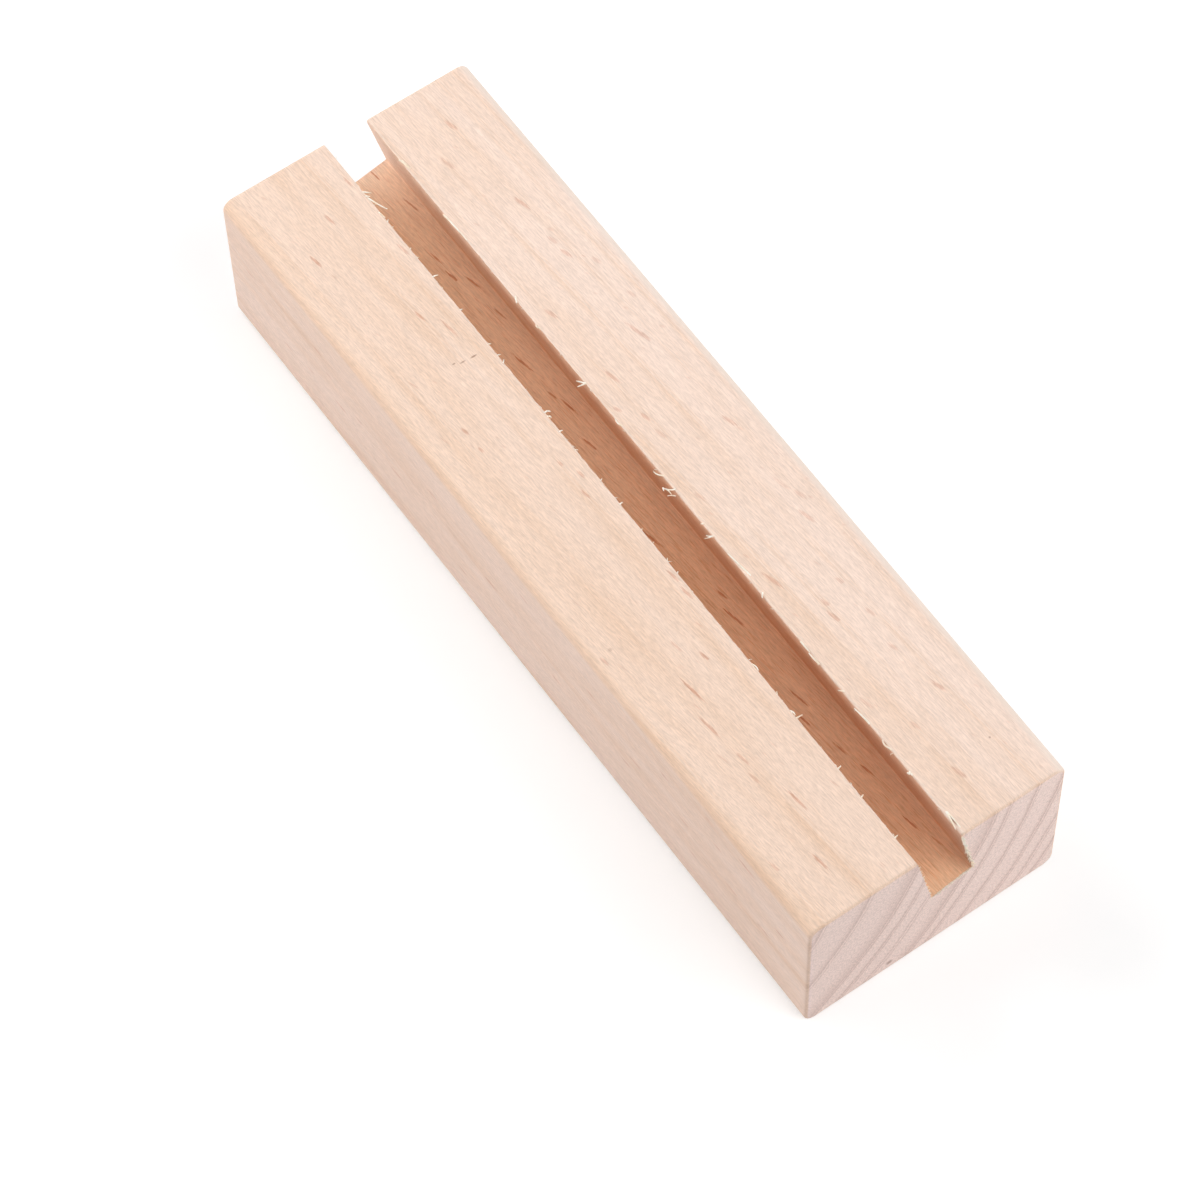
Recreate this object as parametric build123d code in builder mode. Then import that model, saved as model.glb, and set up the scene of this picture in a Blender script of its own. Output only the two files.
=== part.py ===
"""Photo block: a solid bar of beech with one leaning slot along its top, where a print or card stands.

The grain runs along X, the front is towards -Y, +Z is up, and the origin is the middle of the underside.
"""

import os

from build123d import *

# The planed bar, in millimetres.
BLOCK_LENGTH = 120.0
BLOCK_DEPTH = 36.0
BLOCK_HEIGHT = 24.0

# Its edges: the long ones are rounded, the crosscut ends only eased.
LONG_EDGE_RADIUS = 1.5
END_EDGE_EASE = 0.4

# The slot, measured square to its walls and down its leaning middle line, and its lean from upright in degrees.
SLOT_WIDTH = 6.0
SLOT_DEPTH = 11.5
SLOT_LEAN = 12.5

os.makedirs("parts", exist_ok=True)

with BuildPart() as beech_block:
    # The bar stands on Z = 0, with its section drawn across the grain.
    with BuildSketch(Plane.YZ):
        with Locations((0, BLOCK_HEIGHT / 2)):
            RectangleRounded(BLOCK_DEPTH, BLOCK_HEIGHT, LONG_EDGE_RADIUS)
    extrude(amount=BLOCK_LENGTH / 2, both=True)
    fillet(beech_block.faces().filter_by(Axis.X).edges(), radius=END_EDGE_EASE)

    # The slot is cut last, so its edges stay sharp. The cutter leans back over the middle of the top, reaches as
    # far above the mouth as below it, and leaves a floor square to the walls.
    with BuildSketch(Plane.YZ):
        with Locations((0, BLOCK_HEIGHT)):
            Rectangle(SLOT_WIDTH, 2 * SLOT_DEPTH, rotation=-SLOT_LEAN)
    extrude(amount=BLOCK_LENGTH, both=True, mode=Mode.SUBTRACT)

beech_block.part.label = "beech_block"
export_step(beech_block.part, "parts/beech_block.step")
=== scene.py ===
"""Looks of a beech photo block: a sanded bar with a leaning slot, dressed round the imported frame."""

import functools
import logging
import math
from dataclasses import dataclass, replace
from enum import Enum
from typing import Iterator, Sequence

import bmesh
import bpy
from mathutils import Matrix, Vector, noise

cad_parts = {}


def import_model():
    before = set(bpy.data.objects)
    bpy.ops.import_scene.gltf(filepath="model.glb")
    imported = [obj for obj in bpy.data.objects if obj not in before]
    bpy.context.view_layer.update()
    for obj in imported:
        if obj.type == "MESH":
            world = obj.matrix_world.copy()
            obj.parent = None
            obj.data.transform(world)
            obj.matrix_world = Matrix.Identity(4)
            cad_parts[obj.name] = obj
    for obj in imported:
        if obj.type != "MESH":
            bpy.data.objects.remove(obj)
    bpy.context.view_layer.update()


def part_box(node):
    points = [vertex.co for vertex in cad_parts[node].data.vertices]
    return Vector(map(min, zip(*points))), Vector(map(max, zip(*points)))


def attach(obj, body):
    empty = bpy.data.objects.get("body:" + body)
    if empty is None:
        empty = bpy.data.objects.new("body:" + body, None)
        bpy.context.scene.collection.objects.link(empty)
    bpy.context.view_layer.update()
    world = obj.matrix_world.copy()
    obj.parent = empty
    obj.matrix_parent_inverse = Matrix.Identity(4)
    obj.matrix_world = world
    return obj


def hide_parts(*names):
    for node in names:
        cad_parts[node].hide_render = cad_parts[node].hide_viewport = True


LOG = logging.getLogger("photo_block")
MM = 0.001
BLOCK_NODE = "beech_block"
BODY = "root"

Socket = bpy.types.NodeSocket
Feed = float | int | Sequence[float] | Socket | bpy.types.ID
Pair = tuple[float, float]
Place = tuple[float, float, float]
Colour = tuple[float, float, float, float]


class Arris(Enum):
    """The slot's two long edges, by the side of the block that they are on."""

    BACK = 1
    FRONT = -1


@dataclass(frozen=True)
class Tint:
    """A colour as it is read off a swatch, from 0 to 255 a channel."""

    red: float
    green: float
    blue: float

    def linear(self) -> Colour:
        """Returns the colour as the renderer's linear values, opaque."""
        return (*(self._channel(value / 255) for value in (self.red, self.green, self.blue)), 1.0)

    @staticmethod
    def _channel(value: float) -> float:
        """Returns one display channel as linear light."""
        return value / 12.92 if value <= 0.04045 else ((value + 0.055) / 1.055) ** 2.4


class Graph:
    """Adds nodes to one node tree and links them."""

    def __init__(self, tree: bpy.types.NodeTree) -> None:
        """Starts on a shader or geometry tree."""
        self.tree = tree

    @classmethod
    def of(cls, owner: bpy.types.Material | bpy.types.World) -> "Graph":
        """Starts on a new material or world.

        Args:
            owner: what the nodes are for.

        Returns:
            The graph of its tree, with nothing in it.
        """
        owner.use_nodes = True
        owner.node_tree.nodes.clear()
        return cls(owner.node_tree)

    def node(
        self, kind: str, feeds: dict[str | int, Feed] | None = None, **settings: object
    ) -> bpy.types.Node:
        """Adds a node.

        Args:
            kind: the node's type.
            feeds: what goes into its inputs, by name or number.
            **settings: the node's own properties.

        Returns:
            The new node.
        """
        node = self.tree.nodes.new(kind)
        for name, value in settings.items():
            setattr(node, name, value)
        for key, value in (feeds or {}).items():
            self.feed(node.inputs[key], value)
        return node

    def feed(self, socket: Socket, value: Feed) -> None:
        """Links a socket to an output, or sets its constant.

        Args:
            socket: the input.
            value: what goes into it.
        """
        if isinstance(value, Socket):
            self.tree.links.new(value, socket)
        else:
            socket.default_value = value

    def math(self, operation: str, *values: Feed, clamp: bool = False) -> Socket:
        """Does one sum.

        Args:
            operation: the Math node's operation.
            *values: its inputs, in order.
            clamp: whether the result is kept from 0 to 1.

        Returns:
            The result.
        """
        feeds = dict(enumerate(values))
        return self.node("ShaderNodeMath", feeds, operation=operation, use_clamp=clamp).outputs[0]

    def times(self, first: Feed, second: Feed) -> Socket:
        """Returns two values' product."""
        return self.math("MULTIPLY", first, second)

    def most(self, *values: Feed) -> Socket:
        """Returns the largest of some values."""
        return functools.reduce(lambda first, second: self.math("MAXIMUM", first, second), values)

    def squares(self, first: Socket, second: Socket) -> Socket:
        """Returns the sum of two values' squares."""
        return self.math("MULTIPLY_ADD", first, first, self.times(second, second))

    def step(self, value: Feed, low: Feed, high: Feed, start: Feed = 0.0, end: Feed = 1.0) -> Socket:
        """Steps smoothly from one level to another.

        Args:
            value: what the step depends on.
            low: the value where the step starts.
            high: the value where the step ends.
            start: the level before the step.
            end: the level after the step.

        Returns:
            The level.
        """
        feeds = {"Value": value, "From Min": low, "From Max": high, "To Min": start, "To Max": end}
        return self.node("ShaderNodeMapRange", feeds, interpolation_type="SMOOTHSTEP").outputs[0]

    def vector(self, x: Feed, y: Feed, z: Feed) -> Socket:
        """Returns three values joined as a vector."""
        return self.node("ShaderNodeCombineXYZ", {0: x, 1: y, 2: z}).outputs[0]

    def vector_math(self, operation: str, feeds: dict[str | int, Feed]) -> bpy.types.NodeOutputs:
        """Returns the outputs of one sum with vectors."""
        return self.node("ShaderNodeVectorMath", feeds, operation=operation).outputs

    def stretched(self, point: Sequence[Socket], scales: Sequence[float]) -> Socket:
        """Returns a point as a vector, scaled by its own amount along each axis."""
        return self.vector(*(self.times(value, scale) for value, scale in zip(point, scales)))

    def noise(self, point: Sequence[Socket], scales: Sequence[float], detail: float = 2.0) -> Socket:
        """Returns cloudy noise from 0 to 1, with its own scale along each axis."""
        feeds = {"Vector": self.stretched(point, scales), "Scale": 1.0, "Detail": detail, "Roughness": 0.6}
        return self.node("ShaderNodeTexNoise", feeds).outputs["Fac"]

    def mix(self, share: Feed, first: Feed, second: Feed, blend: str = "MIX") -> Socket:
        """Mixes two colours.

        Args:
            share: how much of the second colour shows.
            first: the colour underneath.
            second: the colour on top.
            blend: how they mix.

        Returns:
            The mixed colour.
        """
        feeds = {0: share, 6: first, 7: second}
        return self.node("ShaderNodeMix", feeds, data_type="RGBA", blend_type=blend).outputs[2]

    def tinted(self, share: Feed, colour: Feed, tint: Feed) -> Socket:
        """Returns a colour that is multiplied by a share of a tint."""
        return self.mix(share, colour, tint, "MULTIPLY")

    def shaded(self, colour: Feed, level: Socket) -> Socket:
        """Returns a colour made darker or lighter by a level round 1."""
        return self.tinted(1.0, colour, self.vector(level, level, level))

    def ramp(
        self, share: Socket, stops: Sequence[tuple[float, Colour]], stepped: bool = False
    ) -> bpy.types.NodeOutputs:
        """Adds a colour ramp.

        Args:
            share: what it depends on, from 0 to 1.
            stops: each stop's place, from 0 up, and its colour.
            stepped: whether a colour holds until the next stop.

        Returns:
            The ramp's colour and its alpha.
        """
        node = self.node("ShaderNodeValToRGB", {0: share})
        node.color_ramp.interpolation = "CONSTANT" if stepped else "LINEAR"
        elements = node.color_ramp.elements
        elements.remove(elements[-1])
        for spot, (place, colour) in enumerate(stops):
            stop = elements.new(place) if spot else elements[0]
            stop.color = colour
        return node.outputs

    def attribute(self, name: str) -> Socket:
        """Returns a value that the piece's own mesh carries."""
        return self.node("ShaderNodeAttribute", attribute_name=name).outputs["Fac"]

    def channels(self, colour: Socket) -> list[Socket]:
        """Returns a colour's red, green and blue."""
        return list(self.node("ShaderNodeSeparateColor", {0: colour}).outputs)

    def axes(self, point: Socket) -> list[Socket]:
        """Returns a vector's X, Y and Z."""
        return list(self.node("ShaderNodeSeparateXYZ", {0: point}).outputs)

    def coordinates(self, kind: str = "Object") -> Socket:
        """Returns the point's coordinates of one kind."""
        return self.node("ShaderNodeTexCoord").outputs[kind]

    def surface(self, feeds: dict[str | int, Feed]) -> None:
        """Ends a material in the standard shader with these inputs."""
        shader = self.node("ShaderNodeBsdfPrincipled", feeds)
        self.node("ShaderNodeOutputMaterial", {"Surface": shader.outputs[0]})


def add_piece(name: str, data: bpy.types.ID) -> bpy.types.Object:
    """Adds an object to the scene.

    Args:
        name: its name.
        data: its mesh, curve, light or camera.

    Returns:
        The object.
    """
    piece = bpy.data.objects.new(name, data)
    bpy.context.scene.collection.objects.link(piece)
    return piece


def settled(source: bpy.types.Object, name: str) -> bpy.types.Object:
    """Replaces an object by its evaluated shape.

    Args:
        source: the object, which is removed.
        name: the new object's name.

    Returns:
        The new object, a plain mesh.
    """
    evaluated = source.evaluated_get(bpy.context.evaluated_depsgraph_get())
    mesh = bpy.data.meshes.new_from_object(evaluated)
    mesh.name = name
    bpy.data.objects.remove(source)
    return add_piece(name, mesh)


def facing(place: Place, aim: Place) -> Matrix:
    """Returns the pose of a light or camera at a place that looks at another, in metres."""
    turn = (Vector(aim) - Vector(place)).to_track_quat("-Z", "Y")
    return Matrix.Translation(place) @ turn.to_matrix().to_4x4()


@dataclass(frozen=True)
class Ring:
    """One year's growth: its width in millimetres and the share of it that is dark late wood."""

    width: float
    late: float


@dataclass(frozen=True)
class Speck:
    """A small dark mark: its place and half sizes in millimetres, and how dark it is."""

    place: Place
    size: Place
    depth: float


@dataclass(frozen=True)
class Fleck:
    """A ray that shows as a dash: its middle along and across the bar, its length, and how dark it is."""

    along: float
    across: float
    length: float
    depth: float


@dataclass(frozen=True)
class FleckLane:
    """A strip of the bar whose large flecks are placed one by one, from the near end to the far end.

    The strip's Y and Z reach from low to high, and its flecks share a width, a slant against the bar and a
    strength. On an upright strip the flecks' places across the bar are heights.
    """

    low: Pair
    high: Pair
    width: float
    slant: float
    strength: float
    flecks: tuple[Fleck, ...]
    upright: bool = False

    def turned(self, height: float) -> "FleckLane":
        """Turns the strip half round, to the bar's other side.

        Args:
            height: the bar's height.

        Returns:
            The strip there.
        """
        flecks = [
            replace(fleck, along=-fleck.along, across=height - fleck.across)
            for fleck in reversed(self.flecks)
        ]
        low, high = (-self.high[0], self.low[1]), (-self.low[0], self.high[1])
        return replace(self, low=low, high=high, flecks=tuple(flecks))

    def stops(self, span: float) -> Iterator[tuple[float, Colour]]:
        """Gives each fleck a stretch of the bar, up to halfway to the next one.

        Args:
            span: the bar's length.

        Yields:
            Where the stretch starts, and the fleck's middle, level, length and depth, as shares of the bar.
        """
        starts = [-span / 2]
        for before, after in zip(self.flecks, self.flecks[1:]):
            starts.append((before.along + before.length / 2 + after.along - after.length / 2) / 2)
        for start, fleck in zip(starts, self.flecks):
            middle, level = fleck.along / span + 0.5, fleck.across / span + 0.5
            yield start / span + 0.5, (middle, level, fleck.length / span, fleck.depth)


@dataclass(frozen=True)
class RayCrowd:
    """Scattered rays: their spacing along the grain, outwards and round the tree, and how dark they are.

    The spacing is in millimetres, and the smallest and the largest ray are given as the share of it that
    they fill.
    """

    spacing: Place
    smallest: float
    largest: float
    depth: float


@dataclass(frozen=True)
class BeechFinish:
    """Bare sanded beech: the tints and sizes of its rings, rays, fibres and marks, in millimetres."""

    # Tints along the grain, of the crosscut ends, of the edges and of the small marks.
    heart: Tint = Tint(240, 213, 194)
    bark: Tint = Tint(244, 220, 205)
    late: Tint = Tint(250, 245, 239)
    drift: Tint = Tint(251, 247, 242)
    fleck: Tint = Tint(231, 202, 190)
    sawn_fleck: Tint = Tint(222, 184, 168)
    end_early: Tint = Tint(247, 223, 214)
    end_late: Tint = Tint(211, 181, 171)
    # Tints along the grain, of the crosscut ends, of the edges with their painted highlight, and of the small
    # marks and painted gap shade.
    burnish: Tint = Tint(253, 247, 236)
    # The pale tint is a painted highlight on the front long edges and along the slot's worn edges.
    pale: Tint = Tint(248, 236, 226)
    # The dark mark tint is for the small marks and for the painted shade of the slit under a lifted sliver.
    mark_and_gap_shade: Tint = Tint(122, 70, 38)

    # A painted tint of the light on the back long side, a little bluer, as a share of each colour, and where
    # that side starts across the bar.
    back_side_light_tint: Colour = (1.0, 1.0, 1.04, 1.0)
    back_side_light_range: Pair = (17.0, 17.9)

    # Tints of the sawn slot, its floor's and walls' by place along the bar, partly the sawn wood's own colour
    # and partly
    # painted light and shade: the floor is lighter towards both ends, and the walls are darker at the near
    # end and lighter towards the far end. The floor gets painted shade across the bar towards the front wall
    # and passes into the walls by height.
    slot_streak: Tint = Tint(240, 222, 210)
    # Painted shade on the slot's floor towards the front wall, under its overhang.
    floor_shade_by_wall: Tint = Tint(255, 245, 234)
    floor_tints_and_shading: tuple[tuple[float, Tint], ...] = (
        (-60.0, Tint(255, 239, 213)),
        (-50.0, Tint(255, 235, 207)),
        (-30.0, Tint(255, 235, 207)),
        (5.0, Tint(255, 238, 211)),
        (60.0, Tint(255, 240, 214)),
    )
    wall_tints_and_shading: tuple[tuple[float, Tint], ...] = (
        (-60.0, Tint(232, 213, 201)),
        (-54.0, Tint(246, 232, 221)),
        (-10.0, Tint(252, 241, 231)),
        (18.0, Tint(253, 243, 233)),
        (48.0, Tint(255, 255, 253)),
    )
    floor_shade_range: Pair = (-5.0, 0.5)
    wall_range: Pair = (11.0, 16.0)

    # Noise scales along the grain, outwards and round the tree, and the ranges and levels that they work in.
    fine_scales: Place = (0.9, 8.0, 8.0)
    fine_swing: float = 0.105
    strand_scales: Place = (0.15, 4.5, 4.5)
    strand_swing: float = 0.055
    swing_range: Pair = (0.25, 0.75)
    sway_scales: Place = (0.012, 0.11, 0.11)
    cloud_scales: Place = (0.02, 0.24, 0.24)
    cloud_range: Pair = (0.35, 0.7)
    break_scales: Place = (0.05, 0.3, 0.3)
    break_range: Pair = (0.3, 0.65)
    streak_scales: Place = (0.25, 6.0, 6.0)
    streak_range: Pair = (0.48, 0.72)
    spoke_scales: Place = (0.0, 0.16, 3.0)
    spoke_onset: float = 0.4
    pore_scales: Place = (3.2, 3.2, 3.2)
    pore_range: Pair = (0.3, 0.7)
    pore_levels: Pair = (0.88, 1.12)
    coarse_detail: float = 3.0

    # The tree: its pith beside the bar's near end, how the grain rises across and up the bar, and its rings
    # from the core outwards, with the lines before and after each ring's outer edge.
    near_end: float = -60.0
    height: float = 24.0
    pith: Pair = (51.0, 38.0)
    grain_rise: Pair = (0.07, -0.055)
    core: float = 32.0
    rings: tuple[Ring, ...] = (
        Ring(6.0, 0.30), Ring(6.0, 0.34), Ring(6.6, 0.50), Ring(2.8, 0.30), Ring(2.8, 0.26),
        Ring(4.5, 0.62), Ring(2.2, 0.34), Ring(3.9, 0.26), Ring(3.8, 0.30), Ring(2.8, 0.34),
        Ring(2.3, 0.30), Ring(3.2, 0.40), Ring(2.7, 0.30), Ring(3.4, 0.36),
    )
    widest_ring: float = 10.0
    ring_jump: float = 0.0005
    line_before: float = 0.8
    line_after: float = 0.6
    side_age: Pair = (40.0, 72.0)
    end_age: Pair = (38.0, 76.0)
    end_age_levels: Pair = (0.94, 1.06)
    end_season: float = 0.42
    end_line: float = 0.30
    end_spokes: float = 0.5

    # Rays: the scattered ones, and the large flecks on the rails, on the slot's floor and on the long sides.
    crowds: tuple[RayCrowd, ...] = (
        RayCrowd((9.0, 26.0, 0.45), 0.04, 0.15, 0.45),
        RayCrowd((2.4, 12.0, 0.17), 0.08, 0.24, 0.28),
    )
    ray_rarity: float = 1.6
    ray_core: float = 0.4
    fleck_reach: float = 0.62
    fleck_fade: float = 1.25
    fleck_fray: float = 2.6
    lanes: tuple[FleckLane, ...] = (
        FleckLane(
            (3.0, 23.0), (17.9, 24.1), 0.44, 0.13, 0.86,
            (
                Fleck(-53.3, 11.7, 2.4, 0.9), Fleck(-51.0, 16.2, 1.6, 0.6), Fleck(-45.6, 9.2, 2.8, 1.0),
                Fleck(-40.7, 11.5, 1.6, 0.5), Fleck(-37.9, 11.1, 2.0, 0.6), Fleck(-32.5, 11.8, 3.2, 0.8),
                Fleck(-27.5, 10.6, 3.4, 1.0), Fleck(-24.8, 6.9, 1.6, 0.9), Fleck(-21.7, 8.8, 1.7, 0.5),
                Fleck(-18.5, 16.6, 1.3, 0.6), Fleck(-16.8, 3.7, 2.0, 0.8), Fleck(-14.1, 3.7, 2.0, 0.8),
                Fleck(0.9, 5.6, 1.4, 0.8), Fleck(3.4, 4.5, 1.3, 0.7), Fleck(6.0, 5.6, 0.9, 0.7),
                Fleck(12.9, 12.1, 0.9, 0.7), Fleck(16.1, 12.2, 1.1, 0.8), Fleck(29.1, 5.6, 2.8, 0.7),
                Fleck(32.5, 7.5, 1.6, 0.9), Fleck(41.6, 3.8, 1.8, 0.7), Fleck(46.2, 13.3, 1.9, 0.9),
                Fleck(50.3, 8.6, 1.7, 0.8), Fleck(53.6, 3.8, 1.4, 0.8),
            ),
        ),
        FleckLane(
            (-17.9, 23.0), (-3.0, 24.1), 0.64, 0.25, 0.6,
            (
                Fleck(-53.5, -7.7, 1.9, 0.8), Fleck(-45.9, -7.3, 1.5, 0.6), Fleck(-43.4, -12.5, 2.1, 0.9),
                Fleck(-40.4, -4.5, 1.8, 0.6), Fleck(-36.2, -11.3, 1.3, 0.6), Fleck(-31.2, -12.0, 1.4, 0.6),
                Fleck(-29.3, -8.2, 2.1, 0.9), Fleck(-27.2, -8.5, 1.3, 0.8), Fleck(-25.8, -11.6, 1.3, 0.6),
                Fleck(-21.2, -5.3, 2.8, 1.0), Fleck(-16.6, -13.6, 2.2, 0.8), Fleck(-13.8, -14.7, 1.6, 0.6),
                Fleck(-11.4, -13.8, 2.4, 0.4), Fleck(-7.2, -5.0, 1.4, 0.5), Fleck(-0.9, -13.9, 2.0, 0.9),
                Fleck(2.4, -6.3, 1.6, 0.5), Fleck(5.3, -6.2, 1.4, 0.9), Fleck(8.1, -4.1, 1.1, 0.9),
                Fleck(12.2, -6.2, 2.2, 0.9), Fleck(15.4, -12.4, 3.6, 0.9), Fleck(20.3, -14.8, 1.3, 0.5),
                Fleck(23.6, -5.4, 1.7, 0.9), Fleck(26.7, -14.2, 1.3, 0.5), Fleck(29.7, -11.8, 1.7, 0.9),
                Fleck(32.1, -11.6, 1.4, 0.6), Fleck(38.7, -11.6, 2.3, 1.0), Fleck(48.7, -7.6, 2.4, 0.6),
                Fleck(53.1, -11.1, 1.8, 0.9),
            ),
        ),
        FleckLane(
            (-6.5, 10.0), (1.5, 15.0), 0.31, 0.17, 1.4,
            (
                Fleck(-55.0, -4.1, 1.6, 0.6), Fleck(-51.4, -3.1, 2.4, 0.9), Fleck(-42.9, -3.1, 1.9, 0.8),
                Fleck(-38.8, -2.3, 2.0, 0.7), Fleck(-33.3, -1.2, 1.8, 0.8), Fleck(-30.9, -2.4, 3.2, 0.7),
                Fleck(-17.6, -2.5, 3.6, 1.0), Fleck(-14.3, -3.1, 1.9, 0.9), Fleck(-3.3, -1.0, 2.8, 0.8),
                Fleck(11.8, -2.4, 2.5, 1.0), Fleck(17.4, -3.4, 3.0, 0.8), Fleck(20.0, -2.7, 1.3, 0.7),
                Fleck(26.0, -2.4, 3.1, 1.0), Fleck(33.0, -4.1, 2.0, 0.6), Fleck(38.8, -4.0, 2.4, 0.9),
                Fleck(41.2, -2.5, 2.3, 1.0), Fleck(44.6, -2.4, 2.1, 0.8), Fleck(52.6, -4.2, 2.4, 0.6),
                Fleck(59.0, -3.1, 1.9, 1.0),
            ),
        ),
    )
    side_lane: FleckLane = FleckLane(
        (16.8, 1.0), (18.1, 23.2), 0.44, 0.0, 0.75,
        (
            Fleck(-54.6, 14.9, 1.9, 0.9), Fleck(-51.6, 10.6, 2.1, 0.8), Fleck(-48.2, 21.0, 3.2, 1.0),
            Fleck(-45.4, 10.9, 2.2, 0.7), Fleck(-42.6, 17.1, 1.3, 0.6), Fleck(-41.0, 21.2, 1.5, 0.5),
            Fleck(-37.9, 7.5, 1.6, 0.5), Fleck(-36.2, 13.0, 1.6, 0.5), Fleck(-32.3, 18.4, 1.7, 0.7),
            Fleck(-26.4, 12.5, 2.0, 0.8), Fleck(-24.6, 9.6, 1.5, 0.8), Fleck(-17.5, 15.8, 1.8, 0.7),
            Fleck(-10.2, 8.4, 2.0, 0.7), Fleck(-4.0, 18.9, 1.5, 0.6), Fleck(3.1, 12.2, 2.2, 0.8),
            Fleck(9.4, 6.3, 1.5, 0.6), Fleck(15.2, 16.4, 1.9, 0.7), Fleck(23.3, 10.1, 2.2, 0.8),
            Fleck(31.2, 11.6, 1.5, 0.5), Fleck(35.5, 9.3, 2.2, 0.8), Fleck(37.5, 13.7, 1.5, 0.6),
            Fleck(39.8, 16.5, 2.0, 0.7), Fleck(42.2, 9.0, 1.6, 0.5), Fleck(47.3, 7.9, 1.6, 0.6),
            Fleck(51.0, 10.1, 1.4, 0.4), Fleck(54.9, 14.6, 1.9, 0.6),
        ),
        upright=True,
    )

    # The small dark marks, one of them the painted shade of the gap under a lifted sliver at the near end,
    # and where their edges fade as a share of their half sizes.
    specks: tuple[Speck, ...] = (
        Speck((24.6, 8.0, 24.0), (0.13, 0.27, 0.3), 0.52),
        Speck((24.2, 7.0, 24.0), (0.13, 0.50, 0.3), 0.48),
        Speck((24.1, 5.5, 24.0), (0.15, 0.55, 0.3), 0.60),
        Speck((-17.7, 15.2, 24.0), (0.3, 0.35, 0.3), 0.22),
        Speck((-52.0, -13.2, 24.0), (0.18, 0.16, 0.3), 0.45),
        # Painted shade: the dark slit in the gap under the lifted sliver at the near end.
        Speck((-57.85, -3.45, 24.0), (1.05, 0.12, 0.35), 0.75),
        Speck((-60.0, 6.0, 1.6), (0.5, 0.55, 0.5), 0.55),
    )
    speck_edge: Pair = (0.3, 1.2)

    # The surface: how the fine texture lifts it and flecks dent it, its bump, and its gloss along the fibres.
    fine_lift: float = 0.5
    fleck_dent: float = 0.5
    bump_strength: float = 0.3
    bump_height: float = 0.05
    gloss_range: Pair = (0.2, 0.8)
    roughness: Pair = (0.68, 0.56)
    specular: float = 0.25

    @property
    def span(self) -> float:
        """Returns the bar's length."""
        return -2 * self.near_end

    @property
    def ring_span(self) -> float:
        """Returns all the rings' width."""
        return sum(ring.width for ring in self.rings)


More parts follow.
